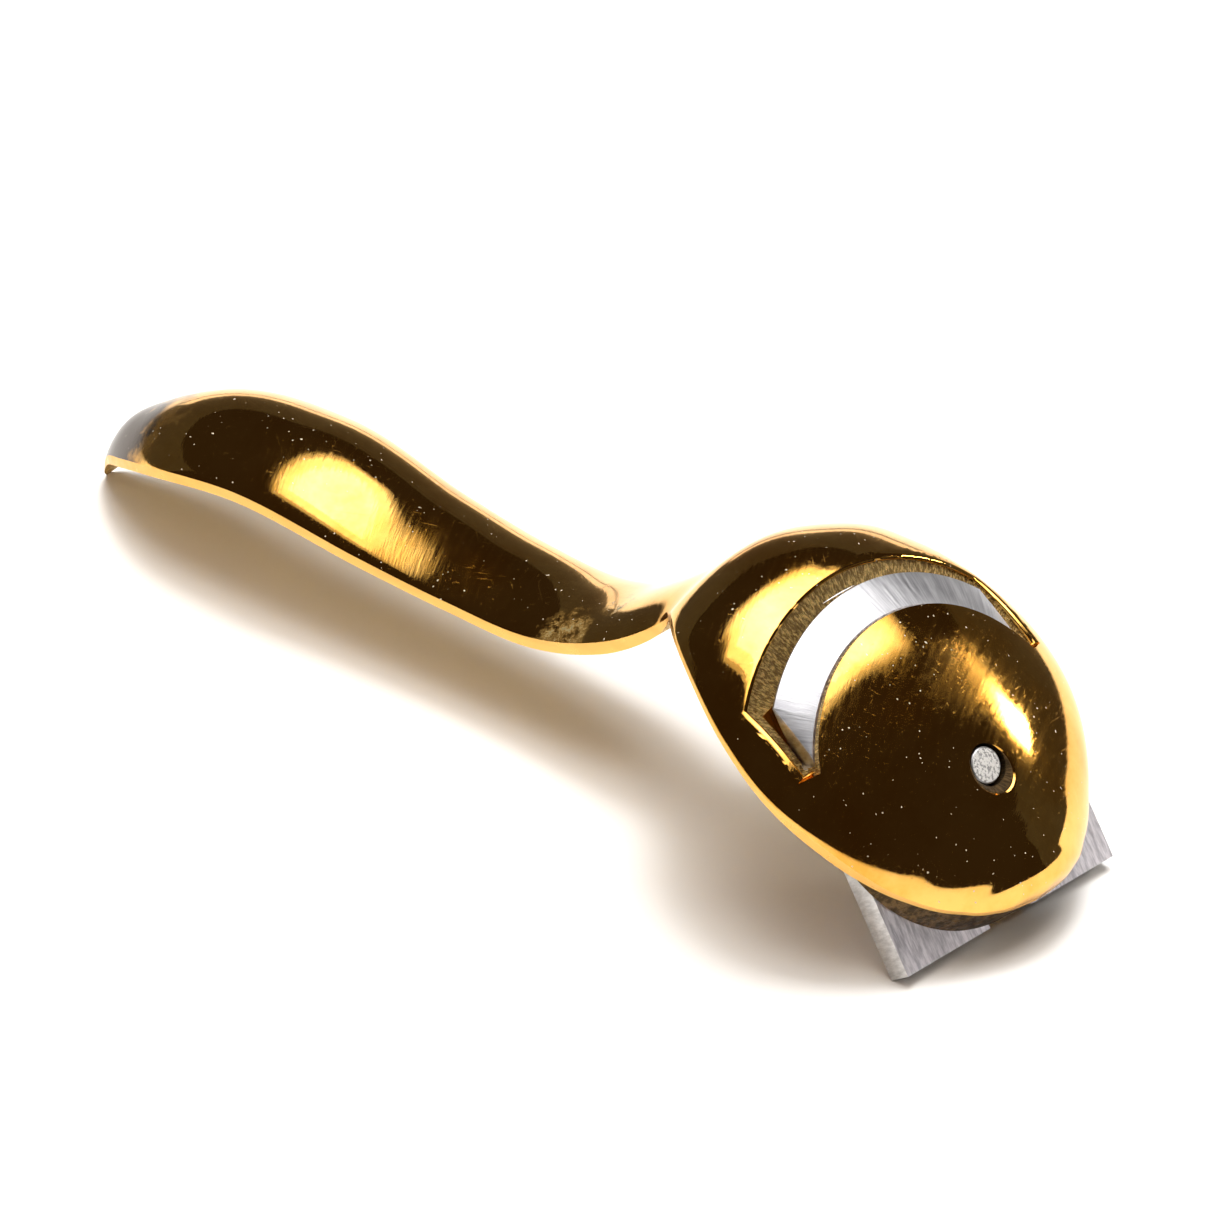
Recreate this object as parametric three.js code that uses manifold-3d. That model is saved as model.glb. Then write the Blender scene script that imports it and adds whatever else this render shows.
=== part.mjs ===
// Brass-bodied pastry cutter: a hollow cast handle and hood carry a flat steel cutter plate
// on a sprung guide pin. Millimetres, +X towards the cutting edge, +Z up, and the origin on the
// resting surface at the middle of the length. The tool stands on its tail and its cutting edge.
import * as THREE from 'three';
import { mergeVertices } from 'three/addons/utils/BufferGeometryUtils.js';
import Module from 'manifold-3d';

const wasm = await Module();
wasm.setup();

// ---- driving dimensions -------------------------------------------------------------------
const GAP = 0.3; // between pieces that touch or seat on each other

const TILT = THREE.MathUtils.degToRad(57); // cutter plate to the resting surface
const PLATE_WIDTH = 45.2;
const PLATE_THICKNESS = 4;
const PLATE_REAR_RADIUS = 31; // rear edge, an arc about the pin
const BEVEL_RADIUS = 25.8; // where the rear bevel starts on the top face
const BEVEL_LAND = 0.3; // blunt land left at the foot of the bevel
const NOTCH_WIDTH = 9;
const NOTCH_DEPTH = 5.5;
const GROUND_EDGE_X = 86.9; // where the cutting edge meets the resting surface
const PIN_SETBACK = 23.4; // from the cutting edge up the plate to the pin

const PIN_DIAMETER = 5.8;
const PIN_TOP = 9.1; // above the plate's top face
const PIN_TRAVEL = 2; // of the pin and the plate together
const PIN_BORE = 6.6;
const PIN_CHAMFER = 5.6; // 45 degree countersink where the pin comes out
const SHANK_DIAMETER = 4.4;
const SPRING_POCKET_DIAMETER = 12.6;
const SPRING_POCKET_TOP = 6.9;
const SPRING_FOOT_DIAMETER = 10.6; // to the middle of the wire
const SPRING_HEAD_DIAMETER = 7.0;
const SPRING_WIRE = 0.7;
const SPRING_TURNS = 2.5;
const BUSH_FLANGE = 1.4;
const RING_THICKNESS = 0.8;
const RING_DIAMETER = 9.8;
const RING_BORE = 5.2;
const RING_OPENING = 0.5; // half its angle, in radians
const NUT_ACROSS_FLATS = 8;
const NUT_HEIGHT = 2.6;
const WASHER_DIAMETER = 9.6;
const WASHER_THICKNESS = 0.8;
const DOWEL_DIAMETER = 3;
const DOWEL_SPREAD = 24; // between the two locating dowels
const DOWEL_ABOVE = 4;
const DOWEL_BELOW = 2.4;
const EASE = 0.4; // chamfers on the ends of pins and dowels

const HANDLE_WALL = 2.6; // of the cast shell
const HOOD_WALL = 3;
const SEAT_FRONT_RADIUS = 22.8; // skirt over the plate, about the pin, straight ahead
const SEAT_SIDE_RADIUS = 25.8; // and at the sides
const CAP_EDGE_RADIUS = 25.6; // rear edge of the cap in front of the window
const PLATE_ROOM = 0.4; // between the plate's outline and the hood's walls
// The window's sloping wall: how far it stands beyond the plate's outline, and where it is over
// the hood's surface, which is itself so high over the plate's top face at the window's ends and rear.
const WINDOW_WALL = [[PLATE_ROOM, -3.4], [2.6, 0], [2.6, 26]];
const WINDOW_END_HEIGHT = 0.6;
const WINDOW_REAR_HEIGHT = -6.4;
const WINDOW_START = 34.9; // up the plate from the cutting edge
const LEDGE_START = 35; // up the plate: from here the hood's web passes under it

// Stations of the casting from tail to nose: x and z of the rim, half-width across the rim,
// crown height over the rim, forward lean of the section in degrees, height of the edge band.
const STATIONS = [
  [-95.4, 0.0, 0.5, 1.6, 0, 0.8],
  [-94.4, 1.4, 2.0, 3.4, 0, 1.2],
  [-92.8, 3.6, 3.6, 4.9, 0, 1.5],
  [-90.8, 5.9, 5.2, 5.9, 0, 1.6],
  [-84.1, 10.2, 9.2, 7.3, 0, 1.6],
  [-74.6, 14.4, 12.7, 8.3, 0, 1.6],
  [-56.5, 18.1, 13.5, 7.0, 0, 1.6],
  [-31.6, 16.2, 12.0, 5.6, 0, 1.6],
  [-15.0, 15.6, 11.2, 5.1, 0, 1.6],
  [2.3, 16.4, 10.9, 5.2, 0, 1.8],
  [12.6, 19.6, 10.9, 5.6, 2, 2.1],
  [19.4, 22.8, 10.4, 7.2, 5, 2.4],
  [27.3, 29.0, 9.4, 8.2, 12, 2.4],
  [30.4, 33.2, 10.4, 7.8, 19, 1.8],
  [34.4, 37.8, 15.0, 8.6, 25, 1.0],
  [40.4, 39.2, 20.4, 9.7, 30, 0.7],
  [48.0, 37.2, 24.9, 11.6, 32, 0.7],
  [58.4, 32.2, 29.0, 13.1, 32, 0.8],
  [69.3, 25.6, 30.0, 12.2, 32, 1.2],
  [76.9, 20.3, 27.6, 11.4, 32, 1.8],
  [81.5, 16.8, 24.9, 10.8, 32, 1.6],
  [86.7, 13.0, 20.4, 9.4, 32, 1.0],
  [92.2, 9.8, 13.6, 6.8, 32, 0.8],
  [94.8, 8.7, 8.6, 4.6, 32, 0.8],
  [95.8, 8.3, 4.8, 3.1, 32, 0.8],
  [96.2, 8.1, 1.0, 1.7, 32, 0.8],
];
const HANDLE_LEANNESS = 1.65; // 1 makes a section half an ellipse, and 2 a parabola
const HOOD_LEANNESS = 1.4;
const [HANDLE_HALF, HOOD_HALF] = [14, 22]; // half-widths at which those hold
const STEPS_PER_STATION = 3;
const SECTION_STEPS = 22;
const SKIRT_START = 18; // first station that the skirt may begin at
const SKIRT_LAP = 0.4; // how far the skirt runs up inside the hood's rim
const ARC_STEPS = 32;
const HANDLE_CORE = [-84, 19]; // x range of the hollow under the handle
const HOOD_CORES = [[38, 51], [66, 90]]; // and of the hollows under the hood, with a web between them
const CORE_DROP = 1.5; // how far the hollows are cut below the rim
const FAR = 60; // past every surface of the hood, for cuts that go right through

// ---- solids -------------------------------------------------------------------------------
function toManifold(geometry) {
  const bare = geometry.clone();
  bare.deleteAttribute('normal');
  bare.deleteAttribute('uv');
  const merged = mergeVertices(bare, 1e-5);
  const build = (triangles) => new wasm.Manifold(new wasm.Mesh({
    numProp: 3,
    vertProperties: new Float32Array(merged.attributes.position.array),
    triVerts: new Uint32Array(triangles),
  }));
  const triangles = Array.from(merged.index.array);
  const solid = build(triangles);
  return solid.volume() < 0 ? build(triangles.reverse()) : solid; // faces always point out
}

function toGeometry(manifold) {
  const mesh = manifold.getMesh();
  const geometry = new THREE.BufferGeometry();
  geometry.setAttribute('position', new THREE.BufferAttribute(mesh.vertProperties, 3));
  geometry.setIndex(new THREE.BufferAttribute(mesh.triVerts, 1));
  geometry.computeVertexNormals();
  return geometry;
}

// Skins a run of rings with the same number of points, and closes both ends from their centres.
function loft(rings) {
  const count = rings[0].length;
  const points = rings.flat();
  const faces = [];
  for (let ring = 0; ring + 1 < rings.length; ring += 1) {
    for (let i = 0; i < count; i += 1) {
      const next = (i + 1) % count;
      const [a, b] = [ring * count + i, ring * count + next];
      faces.push(a, b, b + count, a, b + count, a + count);
    }
  }
  const closeEnd = (ring, first, flip) => {
    const centre = new THREE.Vector3();
    ring.forEach((point) => centre.addScaledVector(point, 1 / count));
    points.push(centre);
    for (let i = 0; i < count; i += 1) {
      const [a, b] = [first + i, first + ((i + 1) % count)];
      faces.push(...(flip ? [points.length - 1, b, a] : [points.length - 1, a, b]));
    }
  };
  closeEnd(rings[0], 0, true);
  closeEnd(rings.at(-1), (rings.length - 1) * count, false);
  const geometry = new THREE.BufferGeometry().setFromPoints(points);
  geometry.setIndex(faces);
  return geometry;
}

// A value of the station table between two stations, on a smooth curve through all of them.
function stationAt(position) {
  const index = Math.min(Math.floor(position), STATIONS.length - 2);
  const f = position - index;
  const at = (i) => STATIONS[THREE.MathUtils.clamp(i, 0, STATIONS.length - 1)];
  const span = (i) => Math.max(Math.hypot(at(i + 1)[0] - at(i)[0], at(i + 1)[1] - at(i)[1]), 0.5);
  const [before, here, after] = [span(index - 1), span(index), span(index + 1)];
  return at(index).map((value, column) => {
    const [p0, p1, p2, p3] = [-1, 0, 1, 2].map((step) => at(index + step)[column]);
    const m1 = (((p1 - p0) / before) * here + ((p2 - p1) / here) * before) / (before + here) * here;
    const m2 = (((p2 - p1) / here) * after + ((p3 - p2) / after) * here) / (here + after) * here;
    return value * (2 * f ** 3 - 3 * f ** 2 + 1) + m1 * (f ** 3 - 2 * f ** 2 + f)
      + p2 * (3 * f ** 2 - 2 * f ** 3) + m2 * (f ** 3 - f ** 2);
  });
}

// One closed section of the casting: flat underneath, an edge band each side, a round crown.
function section([x, z, halfWidth, crown, lean, band], inset, drop) {
  const up = new THREE.Vector3(Math.sin(THREE.MathUtils.degToRad(lean)), 0,
    Math.cos(THREE.MathUtils.degToRad(lean)));
  const foot = new THREE.Vector3(x, 0, z);
  const ring = [];
  const add = (y, height) => ring.push(foot.clone().setY(y).addScaledVector(up, height));
  const [reach, top] = [halfWidth - inset, crown - inset];
  const land = Math.min(band, top / 2);
  const share = THREE.MathUtils.clamp((halfWidth - HANDLE_HALF) / (HOOD_HALF - HANDLE_HALF), 0, 1);
  const power = THREE.MathUtils.lerp(HANDLE_LEANNESS, HOOD_LEANNESS, share);
  add(-reach, -drop);
  for (let i = 0; i <= SECTION_STEPS; i += 1) {
    const angle = (Math.PI * i) / SECTION_STEPS;
    add(-reach * Math.cos(angle), land + (top - land) * Math.sin(angle) ** power);
  }
  add(reach, -drop);
  return ring;
}

function castingLoft(inset, drop, [from, to] = [-Infinity, Infinity]) {
  const rings = [];
  const total = (STATIONS.length - 1) * STEPS_PER_STATION;
  for (let i = 0; i <= total; i += 1) {
    const station = stationAt(i / STEPS_PER_STATION);
    if (station[0] >= from && station[0] <= to) rings.push(section(station, inset, drop));
  }
  return toManifold(loft(rings));
}

// The cutter's own frame: X across, Y up the plate from its top front edge, Z off its top face.
const cutterFrame = new THREE.Group();
cutterFrame.position.set(
  GROUND_EDGE_X + PLATE_THICKNESS * Math.sin(TILT), 0, PLATE_THICKNESS * Math.cos(TILT));
cutterFrame.quaternion.setFromRotationMatrix(new THREE.Matrix4().makeBasis(
  new THREE.Vector3(0, 1, 0),
  new THREE.Vector3(-Math.cos(TILT), 0, Math.sin(TILT)),
  new THREE.Vector3(Math.sin(TILT), 0, Math.cos(TILT)),
));
cutterFrame.updateMatrixWorld(true);

// A solid given in the cutter's frame, moved into the frame of the casting.
const inCasting = (geometry) => toManifold(geometry.clone().applyMatrix4(cutterFrame.matrixWorld));

// A turned solid about the pin's axis in the cutter's frame, from [radius, height] points.
function turned(profile, segments = 40, across = 0, along = PIN_SETBACK) {
  return new THREE.LatheGeometry(profile.map(([r, h]) => new THREE.Vector2(r, h)), segments)
    .rotateX(Math.PI / 2).translate(across, along, 0);
}

const disc = (radius, low, high) => [[0, low], [radius, low], [radius, high], [0, high]];
const tube = (inner, outer, low, high) => [
  [inner, low], [outer, low], [outer, high], [inner, high], [inner, low],
];

// ---- cast body ----------------------------------------------------------------------------
// The plate's outline grown by a margin, from a place up the plate: straight sides, then the arc.
function plateOutline(margin, start, startHeight, rearHeight = startHeight) {
  const half = PLATE_WIDTH / 2 + margin;
  const radius = PLATE_REAR_RADIUS + margin;
  const corner = Math.asin(half / radius);
  const points = [new THREE.Vector3(half, start, startHeight)];
  for (let i = 0; i <= ARC_STEPS; i += 1) {
    const angle = corner - (2 * corner * i) / ARC_STEPS;
    points.push(new THREE.Vector3(
      radius * Math.sin(angle), PIN_SETBACK + radius * Math.cos(angle), rearHeight));
  }
  points.push(new THREE.Vector3(-half, start, startHeight));
  return points;
}

// Room for the plate and its travel. In front the hood is open below it.
function plateRoom() {
  const floor = -PLATE_THICKNESS - PIN_TRAVEL - PLATE_ROOM;
  const swept = inCasting(loft([
    plateOutline(PLATE_ROOM, -FAR, floor), plateOutline(PLATE_ROOM, -FAR, GAP)]));
  const below = new THREE.BoxGeometry(PLATE_WIDTH + 2 * PLATE_ROOM, FAR, FAR)
    .translate(0, LEDGE_START - FAR / 2, GAP - FAR / 2);
  return swept.add(inCasting(below));
}

// The crescent window: a funnel round the rear of the plate, with the cap left standing in it.
function windowCut() {
  const funnel = inCasting(loft(WINDOW_WALL.map(([margin, rise]) => plateOutline(
    margin, WINDOW_START, WINDOW_END_HEIGHT + rise, WINDOW_REAR_HEIGHT + rise))));
  return funnel.subtract(inCasting(turned(disc(CAP_EDGE_RADIUS, -FAR, FAR), 96)));
}

// The skirt that fills the space between the hood's front rim and the plate's top face.
function skirt() {
  const toCutter = cutterFrame.matrixWorld.clone().invert();
  const [rimRing, seatRing] = [[], []];
  const addPoint = ([x, z, halfWidth, , lean], side) => {
    const angle = THREE.MathUtils.degToRad(lean);
    const point = new THREE.Vector3(x + SKIRT_LAP * Math.sin(angle),
      side * Math.max(halfWidth - SKIRT_LAP, 0.2), z + SKIRT_LAP * Math.cos(angle));
    const local = point.clone().applyMatrix4(toCutter);
    if (local.z < 2 * GAP) return;
    const [across, ahead] = [local.x, PIN_SETBACK - local.y];
    const turn = Math.min(Math.abs(Math.atan2(across, ahead)) / (Math.PI / 2), 1);
    const reach = THREE.MathUtils.lerp(SEAT_FRONT_RADIUS, SEAT_SIDE_RADIUS, turn);
    const scale = reach / Math.hypot(across, ahead);
    rimRing.push(point);
    seatRing.push(new THREE.Vector3(across * scale, PIN_SETBACK - ahead * scale, GAP)
      .applyMatrix4(cutterFrame.matrixWorld));
  };
  const rim = [];
  for (let i = SKIRT_START; i < STATIONS.length - 1; i += 1 / 3) rim.push(stationAt(i));
  rim.forEach((station) => addPoint(station, -1));
  rim.reverse().forEach((station) => addPoint(station, 1));
  return toManifold(loft([seatRing, rimRing]));
}

function bodyCasting() {
  const belowPlate = inCasting(
    new THREE.BoxGeometry(2 * FAR, 4 * FAR, FAR).translate(0, 0, GAP - FAR / 2));
  const hoodHollows = HOOD_CORES.map(
    (span) => castingLoft(HOOD_WALL, CORE_DROP, span).intersect(belowPlate));
  const [sinkFoot, sinkTop] = [PIN_TOP - PIN_CHAMFER / 2, PIN_TOP + PIN_CHAMFER / 2];
  const bores = [
    disc(SPRING_POCKET_DIAMETER / 2, 0, SPRING_POCKET_TOP),
    disc(PIN_BORE / 2, 0, FAR),
    [[0, sinkFoot], [PIN_CHAMFER, sinkTop], [0, sinkTop]],
  ].map((profile) => inCasting(turned(profile)));
  const dowelBores = [-1, 1].map((side) => inCasting(turned(
    disc(DOWEL_DIAMETER / 2 + GAP, 0, DOWEL_ABOVE + GAP), 24, (side * DOWEL_SPREAD) / 2)));
  let body = castingLoft(0, 0)
    .add(skirt())
    .subtract(castingLoft(HANDLE_WALL, CORE_DROP, HANDLE_CORE))
    .subtract(plateRoom())
    .subtract(windowCut());
  [...hoodHollows, ...bores, ...dowelBores].forEach((cut) => { body = body.subtract(cut); });
  return toGeometry(body);
}

// ---- cutter plate and hardware, in the cutter's frame -----------------------------------------
function cutterPlate() {
  const half = PLATE_WIDTH / 2;
  const corner = Math.asin(half / PLATE_REAR_RADIUS);
  const outline = new THREE.Shape();
  outline.moveTo(-half, 0);
  outline.lineTo(-NOTCH_WIDTH / 2, 0);
  outline.lineTo(-NOTCH_WIDTH / 2, NOTCH_DEPTH);
  outline.lineTo(NOTCH_WIDTH / 2, NOTCH_DEPTH);
  outline.lineTo(NOTCH_WIDTH / 2, 0);
  outline.lineTo(half, 0);
  outline.absarc(0, PIN_SETBACK, PLATE_REAR_RADIUS, Math.PI / 2 - corner, Math.PI / 2 + corner, false);
  outline.closePath();
  const blank = new THREE.ExtrudeGeometry(outline,
    { depth: PLATE_THICKNESS, bevelEnabled: false, curveSegments: 40 }).translate(0, 0, -PLATE_THICKNESS);
  const slope = (PLATE_REAR_RADIUS - BEVEL_RADIUS) / (PLATE_THICKNESS - BEVEL_LAND);
  const [above, below] = [1, -PLATE_THICKNESS - 1]; // the cone runs on past both faces
  const outside = turned([
    [BEVEL_RADIUS - slope * above, above], [BEVEL_RADIUS - slope * below, below], [FAR, below],
    [FAR, above], [BEVEL_RADIUS - slope * above, above],
  ], 120);
  const rearHalf = new THREE.BoxGeometry(2 * FAR, FAR, FAR).translate(0, PIN_SETBACK + FAR / 2, 0);
  const bevel = toManifold(outside).intersect(toManifold(rearHalf));
  let plate = toManifold(blank).subtract(bevel)
    .subtract(toManifold(turned(disc(SHANK_DIAMETER / 2 + GAP, -FAR, FAR), 32)));
  [-1, 1].forEach((side) => {
    plate = plate.subtract(toManifold(turned(
      disc(DOWEL_DIAMETER / 2 + GAP, -FAR, FAR), 24, (side * DOWEL_SPREAD) / 2)));
  });
  return toGeometry(plate);
}

// What is on the pin's axis is stacked from the plate's top face, at height 0.
const WASHER_TOP = -PLATE_THICKNESS - GAP;
const NUT_TOP = WASHER_TOP - WASHER_THICKNESS - GAP;
const PIN_FOOT = NUT_TOP - NUT_HEIGHT - 2 * GAP;
const BUSH_TOP = GAP + BUSH_FLANGE;
const RING_TOP = SPRING_POCKET_TOP - 0.5;

function guidePin() {
  const [pin, shank, groove] = [PIN_DIAMETER / 2, SHANK_DIAMETER / 2, RING_BORE / 2 - GAP];
  const grooveFoot = RING_TOP - RING_THICKNESS - GAP;
  return turned([
    [0, PIN_FOOT], [shank - EASE, PIN_FOOT], [shank, PIN_FOOT + EASE], [shank, GAP], [pin, GAP],
    [pin, grooveFoot], [groove, grooveFoot], [groove, RING_TOP + GAP], [pin, RING_TOP + GAP],
    [pin, PIN_TOP - EASE], [pin - EASE, PIN_TOP], [0, PIN_TOP],
  ], 36);
}

const guideBush = () => turned(tube(
  PIN_DIAMETER / 2 + GAP, SPRING_POCKET_DIAMETER / 2 - GAP, GAP, BUSH_TOP));

// A snap ring, open on one side so that it springs into the pin's groove.
function retainingRing() {
  const ring = new THREE.Shape();
  const turns = [Math.PI / 2 + RING_OPENING, (5 * Math.PI) / 2 - RING_OPENING];
  ring.absarc(0, 0, RING_DIAMETER / 2, turns[0], turns[1], false);
  ring.absarc(0, 0, RING_BORE / 2, turns[1], turns[0], true);
  ring.closePath();
  return new THREE.ExtrudeGeometry(ring, { depth: RING_THICKNESS, bevelEnabled: false, curveSegments: 24 })
    .translate(0, PIN_SETBACK, RING_TOP - RING_THICKNESS);
}

// A conical spring, so that its turns nest inside each other when the pin is pressed.
function returnSpring() {
  const [low, high] = [BUSH_TOP + GAP + SPRING_WIRE / 2,
    RING_TOP - RING_THICKNESS - GAP - SPRING_WIRE / 2];
  class Cone extends THREE.Curve {
    getPoint(f, target = new THREE.Vector3()) {
      const angle = 2 * Math.PI * SPRING_TURNS * f;
      const radius = THREE.MathUtils.lerp(SPRING_FOOT_DIAMETER, SPRING_HEAD_DIAMETER, f) / 2;
      return target.set(radius * Math.cos(angle), PIN_SETBACK + radius * Math.sin(angle),
        THREE.MathUtils.lerp(low, high, f));
    }
  }
  const wire = new THREE.Shape().absarc(0, 0, SPRING_WIRE / 2, 0, 2 * Math.PI, false);
  return new THREE.ExtrudeGeometry(wire,
    { steps: 20 * SPRING_TURNS, extrudePath: new Cone(), curveSegments: 4 });
}

const plateWasher = () => turned(tube(
  SHANK_DIAMETER / 2 + GAP, WASHER_DIAMETER / 2, WASHER_TOP - WASHER_THICKNESS, WASHER_TOP), 32);

function lockNut() {
  const hexagon = new THREE.Shape();
  const radius = NUT_ACROSS_FLATS / Math.sqrt(3);
  for (let i = 0; i < 6; i += 1) {
    const angle = (i * Math.PI) / 3;
    const point = [radius * Math.cos(angle), radius * Math.sin(angle)];
    if (i) hexagon.lineTo(...point); else hexagon.moveTo(...point);
  }
  hexagon.closePath();
  hexagon.holes.push(new THREE.Path().absarc(0, 0, SHANK_DIAMETER / 2 + GAP, 0, 2 * Math.PI, true));
  return new THREE.ExtrudeGeometry(hexagon, { depth: NUT_HEIGHT, bevelEnabled: false, curveSegments: 24 })
    .translate(0, PIN_SETBACK, NUT_TOP - NUT_HEIGHT);
}

const locatingDowel = (side) => turned([
  [0, -DOWEL_BELOW], [DOWEL_DIAMETER / 2 - EASE, -DOWEL_BELOW],
  [DOWEL_DIAMETER / 2, EASE - DOWEL_BELOW], [DOWEL_DIAMETER / 2, DOWEL_ABOVE], [0, DOWEL_ABOVE],
], 24, (side * DOWEL_SPREAD) / 2);

const metal = (color, roughness) => new THREE.MeshStandardMaterial({ color, roughness, metalness: 1 });

function addPiece(parent, name, geometry, finish) {
  const mesh = new THREE.Mesh(geometry, finish);
  mesh.name = name;
  parent.add(mesh);
}

const tool = new THREE.Group();
tool.add(cutterFrame);
addPiece(tool, 'body_casting', bodyCasting(), metal(0xc9982f, 0.15));
addPiece(cutterFrame, 'cutter_plate', cutterPlate(), metal(0x9a98a0, 0.35));
addPiece(cutterFrame, 'guide_pin', guidePin(), metal(0x8b8b8b, 0.5));
addPiece(cutterFrame, 'guide_bush', guideBush(), metal(0xb07a3a, 0.3));
addPiece(cutterFrame, 'retaining_ring', retainingRing(), metal(0x3c3c40, 0.4));
addPiece(cutterFrame, 'return_spring', returnSpring(), metal(0xa8a8a8, 0.25));
addPiece(cutterFrame, 'plate_washer', plateWasher(), metal(0xb4b4b4, 0.3));
addPiece(cutterFrame, 'lock_nut', lockNut(), metal(0xb4b4b4, 0.3));
addPiece(cutterFrame, 'locating_dowel_left', locatingDowel(1), metal(0xa0a0a0, 0.3));
addPiece(cutterFrame, 'locating_dowel_right', locatingDowel(-1), metal(0xa0a0a0, 0.3));

// The stations are counted from about the middle of the length; this puts the origin exactly there.
const extent = new THREE.Box3().setFromObject(tool);
tool.position.x = -(extent.min.x + extent.max.x) / 2;

export default tool;
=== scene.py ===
"""Looks of the brass hand cutter: a polished casting, a ground steel cutter plate and its hardware.

Dimensions are in millimetres until a mesh is made from them. Objects are in metres, in the frame
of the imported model: +X towards the cutting edge, +Z up.
"""
import math
from functools import partial

import bmesh
import bpy
import numpy as np
from mathutils import Matrix, Vector
from mathutils.bvhtree import BVHTree


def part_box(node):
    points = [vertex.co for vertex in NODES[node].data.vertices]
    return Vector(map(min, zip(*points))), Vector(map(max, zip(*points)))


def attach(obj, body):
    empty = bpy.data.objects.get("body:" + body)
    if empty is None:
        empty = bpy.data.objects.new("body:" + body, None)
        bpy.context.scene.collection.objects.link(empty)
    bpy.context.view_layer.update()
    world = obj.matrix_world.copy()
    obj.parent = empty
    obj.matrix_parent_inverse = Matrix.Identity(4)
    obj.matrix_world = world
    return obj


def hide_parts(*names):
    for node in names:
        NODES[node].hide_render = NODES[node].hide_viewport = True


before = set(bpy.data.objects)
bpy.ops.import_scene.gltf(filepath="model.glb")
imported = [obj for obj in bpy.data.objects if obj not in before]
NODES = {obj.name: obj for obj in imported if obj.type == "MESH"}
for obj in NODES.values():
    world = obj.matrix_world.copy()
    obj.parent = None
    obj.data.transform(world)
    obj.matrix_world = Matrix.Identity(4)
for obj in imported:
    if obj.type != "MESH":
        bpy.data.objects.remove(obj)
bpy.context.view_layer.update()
MM = 0.001

# ---- dimensions, in millimetres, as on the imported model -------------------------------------
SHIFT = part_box("body_casting")[0].x / MM + 95.4  # the stations' x starts at -95.4, at the tail
GAP = 0.3
TILT = math.radians(57)
PLATE_WIDTH = 45.2
PLATE_THICKNESS = 4.0
PLATE_REAR_RADIUS = 31.0
BEVEL_RADIUS = 25.8
BEVEL_LAND = 0.3
NOTCH_WIDTH = 9.0
NOTCH_DEPTH = 5.5
GROUND_EDGE_X = 86.9
PIN_SETBACK = 23.4
PIN_RADIUS = 2.9
PIN_TOP = 9.1
PIN_BORE = 6.6
PIN_CHAMFER = 5.6
SINK_LIP = 0.22
SHANK_RADIUS = 2.2
POCKET_RADIUS = 6.3
POCKET_TOP = 6.9
RING_TOP = 6.4
RING_THICKNESS = 0.8
RING_BORE = 5.2
PIN_FOOT = -9.1
DOWEL_RADIUS = 1.5
DOWEL_SPREAD = 24.0
DOWEL_ABOVE = 4.0
HANDLE_WALL = 2.6
HOOD_WALL = 3.0
SEAT_FRONT_RADIUS = 22.8
SEAT_SIDE_RADIUS = 25.8
CAP_EDGE_RADIUS = 25.6
PLATE_ROOM = 0.4
PIN_TRAVEL = 2.0
WINDOW_MARGIN = 2.3  # of the window's wall beyond the plate's outline, under its rounded lip
WINDOW_LIP = 1.5  # radius that the lip is rounded to
WINDOW_DEPTH = 3.4
WINDOW_START = 34.9
LEDGE_START = 35.0
FAR = 60.0  # beyond any face of the hood
THROUGH = 20.0  # beyond both faces of the plate
LIP_OVERRUN = 0.3  # how far the window's cut runs on past its lip
LIP_CLEAR = 0.15  # how far off the hood's surface it does so
HANDLE_LEANNESS, HOOD_LEANNESS = 1.65, 1.4
HANDLE_HALF, HOOD_HALF = 14.0, 22.0  # half-widths at which those hold
SKIRT_START = 18
SKIRT_LAP = 0.4
HANDLE_CORE = (-84.0, 19.0)
HOOD_CORES = ((38.0, 51.0), (66.0, 90.0))
CORE_DROP = 1.5
PLATE_EDGE_ROUND = 0.12
PIN_FOOT_CHAMFER = 0.4
TURNING_PITCH, TURNING_DEPTH = 0.3, 0.05
PIN_CROWN = ((0.0, 0.35), (0.1, 0.12), (0.3, 0.0))  # in from the side, down from the top

# Stations of the casting from tail to nose: x and z of the rim, half-width across the rim,
# crown height over the rim, forward lean of the section in degrees, height of the edge band.
STATIONS = np.array([
    (-95.4, 0.0, 0.5, 1.6, 0, 0.8),
    (-94.4, 1.4, 2.0, 3.4, 0, 1.2),
    (-92.8, 3.6, 3.6, 4.9, 0, 1.5),
    (-90.8, 5.9, 5.2, 5.9, 0, 1.6),
    (-84.1, 10.2, 9.2, 7.3, 0, 1.6),
    (-74.6, 14.4, 12.7, 8.3, 0, 1.6),
    (-56.5, 18.1, 13.5, 7.0, 0, 1.6),
    (-31.6, 16.2, 12.0, 5.6, 0, 1.6),
    (-15.0, 15.6, 11.2, 5.1, 0, 1.6),
    (2.3, 16.4, 10.9, 5.2, 0, 1.8),
    (12.6, 19.6, 10.9, 5.6, 2, 2.1),
    (19.4, 22.8, 10.4, 7.2, 5, 2.4),
    (27.3, 29.0, 9.4, 8.2, 12, 2.4),
    (30.4, 33.2, 10.4, 7.8, 19, 1.8),
    (34.4, 37.8, 15.0, 8.6, 25, 1.0),
    (40.4, 39.2, 20.4, 9.7, 30, 0.7),
    (48.0, 37.2, 24.9, 11.6, 32, 0.7),
    (58.4, 32.2, 29.0, 13.1, 32, 0.8),
    (69.3, 25.6, 30.0, 12.2, 32, 1.2),
    (76.9, 20.3, 27.6, 11.4, 32, 1.8),
    (81.5, 16.8, 24.9, 10.8, 32, 1.6),
    (86.7, 13.0, 20.4, 9.4, 32, 1.0),
    (92.2, 9.8, 13.6, 6.8, 32, 0.8),
    (94.8, 8.7, 8.6, 4.6, 32, 0.8),
    (95.8, 8.3, 4.8, 3.1, 32, 0.8),
    (96.2, 8.1, 1.0, 1.7, 32, 0.8),
])
FINE = 9  # rings between two stations
AROUND = 84  # points over the crown of one section
ARC = 120  # points along a round outline
SIDE = 12  # points along the straight side of the window
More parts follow.
